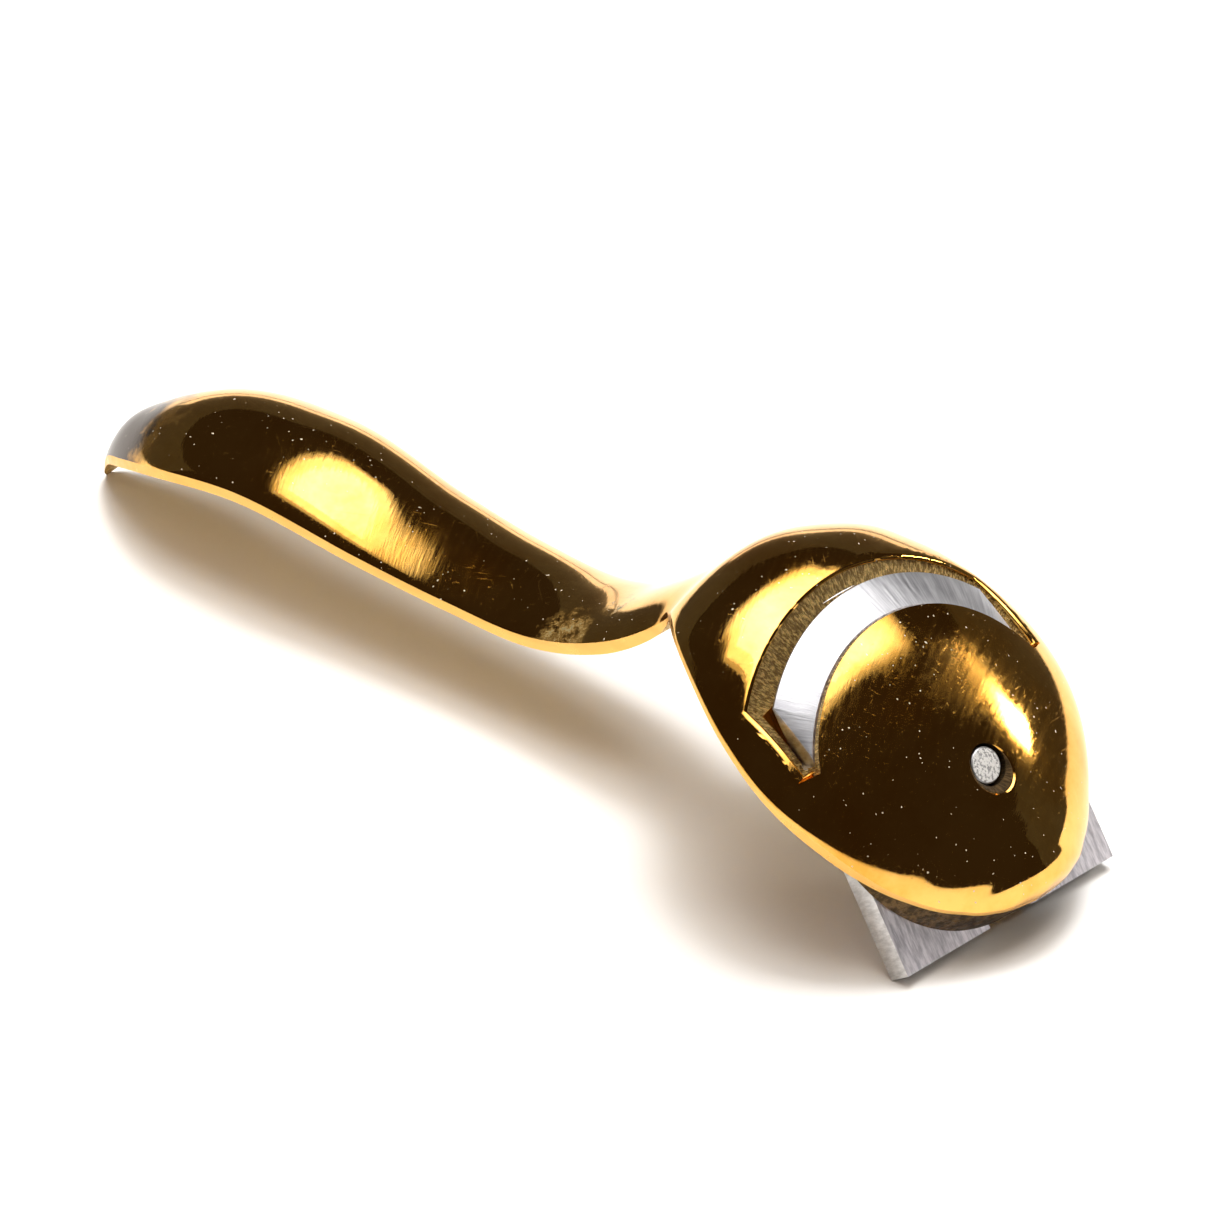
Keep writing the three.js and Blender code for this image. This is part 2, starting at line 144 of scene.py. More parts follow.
RIM_STEPS = 8  # points of the skirt between two stations
LIP_STEPS = 7
SMALL_ROUND, HOLE_ROUND, ROUND, CAP_ROUND, BEVEL_ROUND = 48, 64, 96, 256, 360  # points round each
WELD = 1e-7
EVERYWHERE = (-math.inf, math.inf)

# The cutter's own frame: x across, y up the plate from its top front edge, z off its top face.
CUTTER = Matrix((
    (0, -math.cos(TILT), math.sin(TILT), GROUND_EDGE_X + PLATE_THICKNESS * math.sin(TILT) + SHIFT),
    (1, 0, 0, 0),
    (0, math.sin(TILT), math.cos(TILT), PLATE_THICKNESS * math.cos(TILT)),
    (0, 0, 0, 1),
))


# ---- tones, and the sizes of patterns ---------------------------------------------------------
GOLD, DEEP_GOLD = (0.91, 0.52, 0.13), (0.76, 0.37, 0.06)
SATIN_GOLD, DEEP_SATIN_GOLD = (0.90, 0.55, 0.18), (0.84, 0.44, 0.09)
OXIDE_TONE, VERDIGRIS_TONE = (0.045, 0.026, 0.012), (0.09, 0.17, 0.13)
DUST_TONE = (0.80, 0.76, 0.66)
MOULD_TONES = (0.55, 0.36, 0.10), (0.86, 0.60, 0.22)
WALL_TONES = (0.30, 0.19, 0.07), (0.92, 0.66, 0.26)
# painted shade: near-black brass tones for the bores, the pin's countersink and the skirt under the
# hood's rim, where shade falls
PAINTED_SHADE_TONES = (0.06, 0.04, 0.02), (0.16, 0.10, 0.045)
FACE_TONES = (0.55, 0.53, 0.58), (0.93, 0.90, 0.95)
SIDE_TONES = (0.50, 0.49, 0.48), (0.70, 0.69, 0.68)
BEVEL_TONES = (0.52, 0.52, 0.56), (0.72, 0.72, 0.75)
GRAIN_TONES = (0.42, 0.41, 0.41), (0.98, 0.97, 0.95)
PIN_SIDE_TONE = (0.55, 0.55, 0.56)
FILM_SHADE = 0.62  # of a turned piece's tone, where its film is thick

# Places on the casting, in millimetres, and how far round each the mark reaches.
OXIDE = (((-90.0, -4.0, 12.0), 15.0),)
VERDIGRIS = (((-94.0, -2.0, 5.0), 5.0), ((7.0, -8.8, 19.3), 5.0), ((12.0, -3.0, 25.5), 3.0))
SCUFFS = (((75.0, 4.5, 36.0), 8.0), ((66.0, -4.0, 42.0), 6.0))
SPOT_REACH = 0.5  # a spot's reach on the scale on which it fades
SPOT_RAGGED = 0.6
SPOT_FADE = (0.3, 0.55)

SCRATCH_TURNS = ((0, 0, 0.45), (0, 0.3, 1.9), (0.2, 0, -0.7))
SCRATCH_SCALE, SCRATCH_LENGTH = 2300, 26
SCRATCH_LEVEL, SCRATCH_EDGE = 0.70, 0.06
RUB_ANGLE = math.radians(26)
BEVEL_GRAIN_RADIUS = 28
MIX_FACTOR, MIX_FIRST, MIX_SECOND, MIX_RESULT = 0, 6, 7, 2  # sockets of a Mix node for colours


# ---- node helpers ---------------------------------------------------------------------------
class Look:
    """A material's node tree, with short calls for the nodes that the looks below share."""

    def __init__(self, name):
        self.material = bpy.data.materials.new(name)
        self.material.use_nodes = True
        self.tree = self.material.node_tree
        self.shader = self.tree.nodes["Principled BSDF"]
        self.place = self.node("ShaderNodeTexCoord").outputs["Object"]

    def node(self, kind, **settings):
        made = self.tree.nodes.new(kind)
        for key, value in settings.items():
            setattr(made, key, value)
        return made

    def link(self, source, target):
        self.tree.links.new(source, target)

    def mapped(self, stretch, turn=(0, 0, 0), source=None):
        """A place whose patterns come out stretched along its axes, then turned."""
        node = self.node("ShaderNodeMapping", vector_type="TEXTURE")
        node.inputs["Scale"].default_value = stretch
        node.inputs["Rotation"].default_value = turn
        self.link(source or self.place, node.inputs["Vector"])
        return node.outputs["Vector"]

    def from_pin(self):
        """Places across, up the plate and off its face, from where the pin's axis meets it."""
        shift = self.node("ShaderNodeVectorMath", operation="SUBTRACT")
        shift.inputs[1].default_value = CUTTER @ Vector((0, PIN_SETBACK, 0)) * MM
        self.link(self.place, shift.inputs[0])
        joined = self.node("ShaderNodeCombineXYZ")
        for axis, socket in zip(CUTTER.to_3x3().transposed(), joined.inputs):
            along = self.node("ShaderNodeVectorMath", operation="DOT_PRODUCT")
            along.inputs[1].default_value = axis
            self.link(shift.outputs["Vector"], along.inputs[0])
            self.link(along.outputs["Value"], socket)
        return joined.outputs["Vector"]

    def round_pin(self, radius):
        """As from_pin, but the way round the pin at a radius, then the distance from it."""
        parts = self.node("ShaderNodeSeparateXYZ")
        self.link(self.from_pin(), parts.inputs["Vector"])
        across, up, off = parts.outputs
        joined = self.node("ShaderNodeCombineXYZ")
        turn = self.math("MULTIPLY", self.math("ARCTAN2", across, up), radius * MM)
        squares = self.math("MULTIPLY", across, across), self.math("MULTIPLY", up, up)
        reach = self.math("SQRT", self.math("ADD", *squares), 0)
        for value, socket in zip((turn, reach, off), joined.inputs):
            self.link(value, socket)
        return joined.outputs["Vector"]

    def scratches(self, turns):
        """Thin straight marks in a few directions: 1 on a mark, 0 between them."""
        total = None
        for turn in turns:
            place = self.mapped((SCRATCH_LENGTH, 1, 1), turn)
            streak = self.noise(SCRATCH_SCALE, 1, 0.5, vector=place)
            mark = self.ramp(streak, (SCRATCH_LEVEL, 0.0), (SCRATCH_LEVEL + SCRATCH_EDGE, 1.0))
            total = self.math("MAXIMUM", total, mark) if total else mark
        return total

    def noise(self, scale, detail=3.0, roughness=0.55, vector=None):
        node = self.node("ShaderNodeTexNoise")
        node.inputs["Scale"].default_value = scale
        node.inputs["Detail"].default_value = detail
        node.inputs["Roughness"].default_value = roughness
        self.link(vector or self.place, node.inputs["Vector"])
        return node.outputs["Fac"]

    def ramp(self, value, *stops):
        """Turns a 0 to 1 value into a colour or grey: stops are (position, grey or RGB)."""
        node = self.node("ShaderNodeValToRGB")
        elements = node.color_ramp.elements
        while len(elements) < len(stops):
            elements.new(0.5)
        for element, (position, tone) in zip(elements, stops):
            element.position = position
            rgb = tone if isinstance(tone, tuple) else (tone, tone, tone)
            element.color = (*rgb, 1)
        self.link(value, node.inputs["Fac"])
        return node.outputs["Color"]

    def math(self, operation, first, second):
        node = self.node("ShaderNodeMath", operation=operation)
        for socket, value in zip(node.inputs, (first, second)):
            if isinstance(value, (int, float)):
                socket.default_value = value
            else:
                self.link(value, socket)
        return node.outputs["Value"]

    def mix(self, factor, first, second, blend="MIX"):
        node = self.node("ShaderNodeMix", data_type="RGBA", blend_type=blend)
        for index, value in ((MIX_FACTOR, factor), (MIX_FIRST, first), (MIX_SECOND, second)):
            socket = node.inputs[index]
            if isinstance(value, (int, float)):
                socket.default_value = value
            elif isinstance(value, tuple):
                socket.default_value = (*value, 1)
            else:
                self.link(value, socket)
        return node.outputs[MIX_RESULT]

    def bump(self, height, strength, distance, below=None):
        node = self.node("ShaderNodeBump")
        node.inputs["Strength"].default_value = strength
        node.inputs["Distance"].default_value = distance
        self.link(height, node.inputs["Height"])
        if below:
            self.link(below, node.inputs["Normal"])
        return node.outputs["Normal"]

    def finish(self, color, roughness, normal=None, metallic=1.0):
        """Sets or links the shader's sockets, and leaves those that are None."""
        for name, value in (("Base Color", color), ("Roughness", roughness), ("Normal", normal),
                            ("Metallic", metallic)):
            if value is None:
                continue
            if isinstance(value, tuple):
                self.shader.inputs[name].default_value = (*value, 1)
            elif isinstance(value, (int, float)):
                self.shader.inputs[name].default_value = value
            else:
                self.link(value, self.shader.inputs[name])
        return self.material


# ---- looks ------------------------------------------------------------------------------------
def polished_brass():
    """Mop-polished brass: hairlines, scratches, worn patches, dust, oxide and verdigris."""
    look = Look("brass_polished")
    add, times, most = (partial(look.math, kind) for kind in ("ADD", "MULTIPLY", "MAXIMUM"))
    tarnish = look.ramp(look.noise(60, 5, 0.65), (0.38, 0.0), (0.62, 1.0))
    color = look.mix(tarnish, GOLD, DEEP_GOLD)
    marks = look.scratches(SCRATCH_TURNS)
    rubbed = look.noise(1500, 2, 0.6, vector=look.mapped((1, 12, 3), (0, 0, RUB_ANGLE)))
    grain = look.noise(3600, 2, 0.7)
    wear = look.ramp(look.noise(60, 5, 0.6), (0.42, 0.0), (0.68, 1.0))
    scuffed = near(look, SCUFFS, look.noise(900, 3, 0.7))
    roughness = add(times(wear, 0.04), times(marks, 0.12))
    roughness = add(roughness, look.ramp(rubbed, (0.35, 0.03), (0.62, 0.08)))
    roughness = add(roughness, times(scuffed, 0.085))
    dust = look.ramp(look.noise(2100, 0), (0.835, 0.0), (0.85, 0.8))
    oxide = near(look, OXIDE, look.noise(300, 4, 0.65))
    color = look.mix(oxide, color, OXIDE_TONE)
    patches = look.ramp(look.noise(420, 6, 0.75), (0.46, 0.0), (0.66, 0.85))
    verdigris = times(patches, near(look, VERDIGRIS, look.noise(500, 3)))
    color = look.mix(verdigris, color, VERDIGRIS_TONE)
    color = look.mix(dust, color, DUST_TONE)
    dull = most(most(dust, verdigris), times(oxide, 0.3))
    swell = look.bump(look.noise(60, 1), 0.06, 0.0005)
    fine = look.bump(add(rubbed, times(grain, 0.15)), 0.10, 0.00009, swell)
    normal = look.bump(marks, 0.10, 0.000004, fine)
    metallic = look.math("SUBTRACT", 1.0, dull)
    return look.finish(color, most(roughness, times(dull, 0.6)), normal, metallic)


def near(look, spots, ragged):
    """1 in the middle of some spots and 0 away from them, fading over a ragged edge."""
    total = None
    for centre, reach in spots:
        away = look.node("ShaderNodeVectorMath", operation="DISTANCE")
        away.inputs[1].default_value = Vector(centre) * MM
        look.link(look.place, away.inputs[0])
        share = look.math("MULTIPLY", away.outputs["Value"], SPOT_REACH / (reach * MM))
        uneven = look.math("MULTIPLY", look.math("SUBTRACT", ragged, 0.5), SPOT_RAGGED)
        share = look.math("ADD", share, uneven)
        spot = look.ramp(share, (SPOT_FADE[0], 1.0), (SPOT_FADE[1], 0.0))
        total = look.math("MAXIMUM", total, spot) if total else spot
    return total


def satin_brass():
    """The rim's flat edge, filed and left brushed."""
    look = Look("brass_satin")
    lines = look.noise(1500, 2, vector=look.mapped((10, 1, 2.5)))
    color = look.mix(look.noise(90, 4), SATIN_GOLD, DEEP_SATIN_GOLD)
    roughness = look.ramp(lines, (0.3, 0.26), (0.7, 0.44))
    return look.finish(color, roughness, look.bump(lines, 0.35, 0.00008))


def cast_brass(name, tones, rough, scale=1500, depth=0.0006, stretch=(1, 1, 1)):
    """Brass as it left the mould: grainy, with bright grains in dull ones. In near-black tones,
    painted shade.
    """
    look = Look(name)
    place = look.mapped(stretch, source=look.round_pin(PLATE_REAR_RADIUS))
    grain = look.noise(scale, 4, 0.7, vector=place)
    blotches = look.noise(scale * 0.7, 4, 0.7, vector=place)
    color = look.mix(look.ramp(blotches, (0.46, 0.0), (0.6, 1.0)), *tones)
    roughness = look.ramp(grain, (0.3, rough), (0.7, rough + 0.3))
    return look.finish(color, roughness, look.bump(grain, 1.0, depth))


def ground_steel(name, place, tones, rough, depth, scale=1500):
    """Steel with grinding lines along the direction in which place is stretched most."""
    look = Look(name)
    where = place(look)
    lines = look.noise(scale, 3, 0.65, vector=where)
    fleck = look.ramp(lines, (0.36, 0.0), (0.62, 1.0))
    blotch = look.ramp(look.noise(220, 4), (0.35, 0.85), (0.7, 1.0))
    color = look.mix(1, look.mix(fleck, *tones), blotch, "MULTIPLY")
    roughness = look.ramp(lines, (0.3, rough[0]), (0.7, rough[1]))
    return look.finish(color, roughness, look.bump(lines, depth, 0.0001))


def grainy_steel():
    """The pin's end: sawn off and left with a coarse grain."""
    look = Look("steel_grainy")
    grain = look.noise(2400, 2, 0.6, vector=look.mapped((1, 1, 1.7), (0.4, 0.2, 0.6)))
    color = look.mix(look.ramp(grain, (0.38, 0.0), (0.52, 1.0)), *GRAIN_TONES)
    return look.finish(color, 0.62, look.bump(grain, 0.8, 0.0002), metallic=0.8)


def turned_metal(name, tone, rough):
    """A small turned part: tool marks round it, and a duller film in patches."""
    look = Look(name)
    place = look.mapped((8, 1, 1), source=look.round_pin(POCKET_RADIUS))
    marks = look.noise(2600, 2, vector=place)
    film = look.ramp(look.noise(420, 5, 0.65), (0.42, 0.0), (0.62, 1.0))
    color = look.mix(film, tone, tuple(FILM_SHADE * c for c in tone))
    roughness = look.ramp(marks, (0.3, rough), (0.7, rough + 0.1))
    roughness = look.math("ADD", roughness, look.math("MULTIPLY", film, 0.18))
    return look.finish(color, roughness, look.bump(marks, 0.3, 0.00004))


# ---- mesh helpers ---------------------------------------------------------------------------
def new_object(name, points, faces, materials, indices=None, place=None):
    """A mesh object from points in millimetres, moved by place where they are in another frame."""
    mesh = bpy.data.meshes.new(name)
    matrix = place or Matrix.Identity(4)
    mesh.from_pydata([(matrix @ Vector(p)) * MM for p in points], [], faces)
    for material in materials:
        mesh.materials.append(material)
    if indices is not None:
        mesh.polygons.foreach_set("material_index", indices)
    build = bmesh.new()
    build.from_mesh(mesh)
    bmesh.ops.recalc_face_normals(build, faces=build.faces)
    build.to_mesh(mesh)
    build.free()
    made = bpy.data.objects.new(name, mesh)
    bpy.context.collection.objects.link(made)
    return made


def loft(name, rings, materials, side_index=lambda i: 0, place=None):
    """Skins rings with the same number of points and closes both ends."""
    count = len(rings[0])
    points = [p for ring in rings for p in ring]
    faces, indices = [], []
    for ring in range(len(rings) - 1):
        for i in range(count):
            a, b = ring * count + i, ring * count + (i + 1) % count
            faces.append((a, b, b + count, a + count))
            indices.append(side_index(i))
    for first in (0, (len(rings) - 1) * count):
        points.append(tuple(np.mean(points[first:first + count], axis=0)))
        for i in range(count):
            faces.append((first + i, first + (i + 1) % count, len(points) - 1))
            indices.append(0)
    return new_object(name, points, faces, materials, indices, place)


def turned(name, profile, materials, segments=ROUND, across=0.0, index=lambda i: 0, closed=False):
    """A solid of revolution about the pin's axis from (radius, height) points."""
    points, faces, indices = [], [], []
    count = len(profile)
    for step in range(segments):
        angle = 2 * math.pi * step / segments
        for radius, height in profile:
            points.append((across + radius * math.cos(angle),
                           PIN_SETBACK + radius * math.sin(angle), height))
    for step in range(segments):
        for i in range(count if closed else count - 1):
            a, b = step * count, (step + 1) % segments * count
            j = (i + 1) % count
            faces.append((a + i, b + i, b + j, a + j))
            indices.append(index(i))
    made = new_object(name, points, faces, materials, indices, CUTTER)
    weld(made)
    return made


def weld(made):
    build = bmesh.new()
    build.from_mesh(made.data)
    bmesh.ops.remove_doubles(build, verts=build.verts, dist=WELD)
    bmesh.ops.dissolve_degenerate(build, edges=build.edges, dist=WELD)
    bmesh.ops.recalc_face_normals(build, faces=build.faces)
    build.to_mesh(made.data)
    build.free()


def apply_modifier(made, modifier):
    bpy.context.view_layer.objects.active = made
    bpy.ops.object.modifier_apply(modifier=modifier.name)


def combine(body, tool, operation="DIFFERENCE"):
    """Cuts tool out of body, or joins or intersects them, and removes tool."""
    modifier = body.modifiers.new("combine", "BOOLEAN")
    modifier.object = tool
    modifier.operation = operation
    modifier.solver = "MANIFOLD"
    modifier.material_mode = "TRANSFER"
    apply_modifier(body, modifier)
    bpy.data.objects.remove(tool)
    return body


def round_edges(made, width):
    modifier = made.modifiers.new("round", "BEVEL")
    modifier.width = width * MM
    modifier.segments = 2
    modifier.limit_method = "ANGLE"
    modifier.angle_limit = math.radians(35)
    apply_modifier(made, modifier)


def smooth(made, angle=32):
    made.data.shade_smooth()
    made.data.set_sharp_from_angle(angle=math.radians(angle))


# ---- casting --------------------------------------------------------------------------------
def station_at(position):
    """A row of the station table between two stations, on a smooth curve through all of them."""
    last = len(STATIONS) - 1
    index = min(int(position), last - 1)
    f = position - index
    row = lambda i: STATIONS[min(max(i, 0), last)]
    span = lambda i: max(math.hypot(*(row(i + 1)[:2] - row(i)[:2])), 0.5)
    before, here, after = span(index - 1), span(index), span(index + 1)
    p0, p1, p2, p3 = (row(index + step) for step in (-1, 0, 1, 2))
    m1 = ((p1 - p0) / before * here + (p2 - p1) / here * before) / (before + here) * here
    m2 = ((p2 - p1) / here * after + (p3 - p2) / after * here) / (here + after) * here
    return (p1 * (2 * f**3 - 3 * f**2 + 1) + m1 * (f**3 - 2 * f**2 + f)
            + p2 * (3 * f**2 - 2 * f**3) + m2 * (f**3 - f**2))


def section(station, inset, drop):
    """One closed section: flat underneath, an edge band each side, a round crown."""
    x, z, half_width, crown, lean, band = station
    x += SHIFT
    lean = math.radians(lean)
    reach, top = half_width - inset, crown - inset
    land = min(band, top / 2)
    power = np.interp(half_width, (HANDLE_HALF, HOOD_HALF), (HANDLE_LEANNESS, HOOD_LEANNESS))
    ring = []

    def add(y, height):
        ring.append((x + height * math.sin(lean), y, z + height * math.cos(lean)))

    add(-reach, -drop)
    for i in range(AROUND + 1):
        angle = math.pi * i / AROUND
        add(-reach * math.cos(angle), land + (top - land) * math.sin(angle) ** power)
    add(reach, -drop)
    return ring


def casting_loft(name, inset, drop, materials, span=EVERYWHERE, side_index=lambda i: 0):
    """The casting's outside, or a core set in from it, over a span of x."""
    steps = (len(STATIONS) - 1) * FINE
    rows = [station_at(i / FINE) for i in range(steps + 1)]
    rings = [section(row, inset, drop) for row in rows if span[0] <= row[0] <= span[1]]
    return loft(name, rings, materials, side_index)


def plate_outline(margin, start):
    """The plate's outline grown by a margin: its sides from a place up the plate, and the arc."""
    half, radius = PLATE_WIDTH / 2 + margin, PLATE_REAR_RADIUS + margin
    corner = math.asin(half / radius)
    arc = [(radius * math.sin(a), PIN_SETBACK + radius * math.cos(a))
           for a in np.linspace(corner, -corner, ARC + 1)]
    side, top = arc[0]
    ups = np.linspace(start, top, SIDE, endpoint=False)
    return [*[(side, up) for up in ups], *arc, *[(-side, up) for up in reversed(ups)]]


def plate_block(margin, low, high):
    outline = plate_outline(margin, -FAR)
    return loft("block", [[(*point, height) for point in outline] for height in (low, high)], [],
                place=CUTTER)


def window_cut(hood, lip, wall):
    """The funnel round the rear of the plate, its lip rounded over onto the hood's own surface."""
    tree = BVHTree.FromObject(hood, bpy.context.evaluated_depsgraph_get())
    inward = (CUTTER.to_3x3() @ Vector((0, 0, -1))).normalized()

    def surface(across, up):
        hit = tree.ray_cast((CUTTER @ Vector((across, up, FAR))) * MM, inward)[0]
        return (CUTTER.inverted() @ (hit / MM)).z

    profile = [(PLATE_ROOM, -WINDOW_DEPTH)]
    for angle in np.linspace(0, math.pi / 2, LIP_STEPS):
        profile.append((WINDOW_MARGIN + WINDOW_LIP * (1 - math.cos(angle)),
                        WINDOW_LIP * (math.sin(angle) - 1)))
    beyond = WINDOW_MARGIN + WINDOW_LIP + LIP_OVERRUN
    profile += [(beyond, LIP_CLEAR), (beyond, FAR / 2)]
    rings = []
    for margin, rise in profile:
        outline = plate_outline(margin, WINDOW_START - margin / 3)
        rings.append([(x, y, surface(x, y) + rise) for x, y in outline])
    count = len(rings[0])
    funnel = loft("window", rings, [wall, lip], place=CUTTER)
    faces = funnel.data.polygons
    for index in range(2 * count, (len(rings) - 1) * count):
        faces[index].material_index = 1
    return combine(funnel, turned("cap", disc(CAP_EDGE_RADIUS, -FAR, FAR), [wall], CAP_ROUND))


def box_block(across, up, off, materials):
    """A block between pairs of places across the plate, up it and off its face."""
    corners = [(across[0], up[0]), (across[1], up[0]), (across[1], up[1]), (across[0], up[1])]
    rings = [[(*corner, height) for corner in corners] for height in off]
    return loft("block", rings, materials, place=CUTTER)


def disc(radius, low, high):
    return [(0, low), (radius, low), (radius, high), (0, high)]


def skirt(materials):
    """The wall between the hood's front rim and the plate's top face."""
    to_cutter = CUTTER.inverted()
    rim_ring, seat_ring = [], []
    last = len(STATIONS) - 1
    steps = (last - SKIRT_START) * RIM_STEPS
    rim = [station_at(SKIRT_START + i / RIM_STEPS) for i in range(steps)]
    for station, side in [*[(s, -1) for s in rim], *[(s, 1) for s in reversed(rim)]]:
        x, z, half_width, _, lean, _ = station
        lean = math.radians(lean)
        point = Vector((x + SHIFT + SKIRT_LAP * math.sin(lean),
                        side * max(half_width - SKIRT_LAP, 0.2),
                        z + SKIRT_LAP * math.cos(lean)))
        local = to_cutter @ point
        if local.z < 2 * GAP:
            continue
        across, ahead = local.x, PIN_SETBACK - local.y
        turn = min(abs(math.atan2(across, ahead)) / (math.pi / 2), 1)
        reach = SEAT_FRONT_RADIUS + (SEAT_SIDE_RADIUS - SEAT_FRONT_RADIUS) * turn
        scale = reach / math.hypot(across, ahead)
        rim_ring.append(tuple(point))
        seat = Vector((across * scale, PIN_SETBACK - ahead * scale, GAP))
        seat_ring.append(tuple(CUTTER @ seat))
    return loft("skirt", [seat_ring, rim_ring], materials)


def brass_body(polished, satin, cast, wall, bore):
    band = lambda i: 1 if i == 0 or i == AROUND + 1 else (2 if i == AROUND + 2 else 0)
    body = casting_loft("brass_body", 0, 0, [polished, satin, cast], side_index=band)
    window = window_cut(body, polished, wall)
    # the skirt under the hood's front rim takes the near-black painted-shade brass
    combine(body, skirt([bore]), "UNION")
    combine(body, casting_loft("core", HANDLE_WALL, CORE_DROP, [cast], HANDLE_CORE))
    for span in HOOD_CORES:
        hollow = casting_loft("core", HOOD_WALL, CORE_DROP, [cast], span)
        under = box_block((-FAR, FAR), (-FAR, 2 * FAR), (-FAR, GAP), [cast])
        combine(body, combine(hollow, under, "INTERSECT"))
    floor = -PLATE_THICKNESS - PIN_TRAVEL - PLATE_ROOM
    half = PLATE_WIDTH / 2 + PLATE_ROOM
    combine(body, plate_block(PLATE_ROOM, floor, GAP))
    combine(body, box_block((-half, half), (-FAR, LEDGE_START), (-FAR, GAP), [cast]))
    combine(body, window)
    # the pocket, the pin's hole and its countersink take the near-black painted-shade brass
    for profile in (disc(POCKET_RADIUS, 0, POCKET_TOP), disc(PIN_BORE / 2, 0, FAR), sink(0)):
        combine(body, turned("bore", profile, [bore]))
    lip = turned("lip", sink(SINK_LIP), [polished])
    combine(body, combine(lip, casting_loft("core", SINK_LIP, CORE_DROP, [bore])))
    for side in (-1, 1):
        hole = disc(DOWEL_RADIUS + GAP, 0, DOWEL_ABOVE + GAP)
        combine(body, turned("bore", hole, [cast], SMALL_ROUND, side * DOWEL_SPREAD / 2))
    smooth(body)
    return body


def sink(wider):
    """The countersink round the pin's hole, or one a little wider for its bright lip."""
    foot, top = PIN_TOP - PIN_CHAMFER / 2 - wider, PIN_TOP + PIN_CHAMFER / 2
    return [(0, foot), (top - foot, top), (0, top)]


# ---- cutter plate and pin ---------------------------------------------------------------------
def cutter_plate(face, side, bevel):
    half = PLATE_WIDTH / 2
    corner = math.asin(half / PLATE_REAR_RADIUS)
    notch = NOTCH_WIDTH / 2
    outline = [(-half, 0), (-notch, 0), (-notch, NOTCH_DEPTH),
               (notch, NOTCH_DEPTH), (notch, 0), (half, 0)]
    for i in range(ARC * 2 + 1):
        angle = corner - corner * i / ARC
        outline.append((PLATE_REAR_RADIUS * math.sin(angle),
                        PIN_SETBACK + PLATE_REAR_RADIUS * math.cos(angle)))
    count = len(outline)
    points = [(x, y, z) for z in (-PLATE_THICKNESS, 0) for x, y in outline]
    faces = [tuple(range(count)), tuple(range(count, 2 * count))]
    faces += [(i, (i + 1) % count, count + (i + 1) % count, count + i) for i in range(count)]
    indices = [0, 0] + [1] * count
    plate = new_object("steel_plate", points, faces, [face, side, bevel], indices, CUTTER)
    slope = (PLATE_REAR_RADIUS - BEVEL_RADIUS) / (PLATE_THICKNESS - BEVEL_LAND)
    foot = PLATE_THICKNESS + 1
    profile = [(BEVEL_RADIUS - slope, 1), (FAR, 1), (FAR, -foot),
               (BEVEL_RADIUS + slope * foot, -foot)]
    cone = turned("cone", profile, [bevel], BEVEL_ROUND, closed=True)
    rear = box_block((-2 * FAR, 2 * FAR), (PIN_SETBACK, 2 * FAR), (-FAR / 2, FAR / 2), [bevel])
    combine(plate, combine(cone, rear, "INTERSECT"))
    hole = disc(SHANK_RADIUS + GAP, -THROUGH, THROUGH)
    combine(plate, turned("hole", hole, [side], HOLE_ROUND))
    hole = disc(DOWEL_RADIUS + GAP, -THROUGH, THROUGH)
    for end in (-1, 1):
        combine(plate, turned("hole", hole, [side], SMALL_ROUND, end * DOWEL_SPREAD / 2))
    round_edges(plate, PLATE_EDGE_ROUND)
    smooth(plate, 25)
    return plate


def guide_pin(end, turned_side):
    ring_foot = RING_TOP - RING_THICKNESS - GAP
    groove = RING_BORE / 2 - GAP
    profile = [(0, PIN_FOOT), (SHANK_RADIUS - PIN_FOOT_CHAMFER, PIN_FOOT),
               (SHANK_RADIUS, PIN_FOOT + PIN_FOOT_CHAMFER), (SHANK_RADIUS, GAP),
               (PIN_RADIUS, GAP), (PIN_RADIUS, ring_foot), (groove, ring_foot),
               (groove, RING_TOP + GAP), (PIN_RADIUS, RING_TOP + GAP)]
    for height in np.arange(RING_TOP + 2 * GAP, PIN_TOP - 0.5, TURNING_PITCH):
        profile += [(PIN_RADIUS - TURNING_DEPTH, height),
                    (PIN_RADIUS, height + TURNING_PITCH / 2)]
    profile += [(PIN_RADIUS - inward, PIN_TOP - down) for inward, down in PIN_CROWN]
    profile.append((0, PIN_TOP))
    top = len(profile) - 2
    pin = turned("steel_pin", profile, [turned_side, end], index=lambda i: 1 if i == top else 0)
    smooth(pin, 25)
    return pin


# ---- stage ------------------------------------------------------------------------------------
TARGET = Vector((6.9, 0.0, 21.0)) * MM
AZIMUTH, ELEVATION = math.radians(43), math.radians(32.6)  # azimuth from -Y towards +X
DISTANCE = 6.0  # far off, because the shapes were fitted to the photo in a parallel view
SENSOR_WIDTH = 36
CEILING_PLACE = Vector((-0.045, 0.24, 1.0))
CEILING = (  # name, size, how far below the ceiling's height, radiance
    ("ceiling_wide", (1.10, 1.26), 0.0, 0.75),
    ("ceiling_middle", (1.00, 1.12), 0.01, 1.45),
    ("ceiling_core", (0.84, 0.84), 0.02, 2.6),
)
CEILING_COLOR = (1.0, 0.98, 0.95)
LAMPS = (  # name, azimuth, elevation, distance, size, power, colour, whether reflections show it
    ("side_box", 65, 25, 1.2, (0.13, 0.17), 2.0, (1.0, 0.97, 0.92), True),
    ("floor_key", 110, 77, 2.2, (0.6, 0.6), 20, (0.95, 0.98, 1.0), False),
    ("floor_fill", -60, 60, 2.5, (2.4, 2.4), 19, (1.0, 0.80, 0.62), False),
)
BACKDROPS = (  # name, first and last azimuth in degrees, radius and height in mm, glow
    ("sweep_far", 100, 150, 11000, 920, 1.3),
    ("room", 40, 210, 12000, 6200, 0.04),
)
BACKDROP_STEP = 5
BACKDROP_FOOT = -5
BACKDROP_TONE, BACKDROP_GLOW_TONE = (0.4, 0.39, 0.37), (1.0, 0.97, 0.93, 1)
FLOOR_TONE, FLOOR_HALF = (0.93, 0.925, 0.92), 15000
ROOM_TONE, SEEN_ROOM_TONE = (0.030, 0.022, 0.016, 1), (1, 1, 1, 1)
VIEW_WIDTH = 0.1821  # what the picture is wide at the target


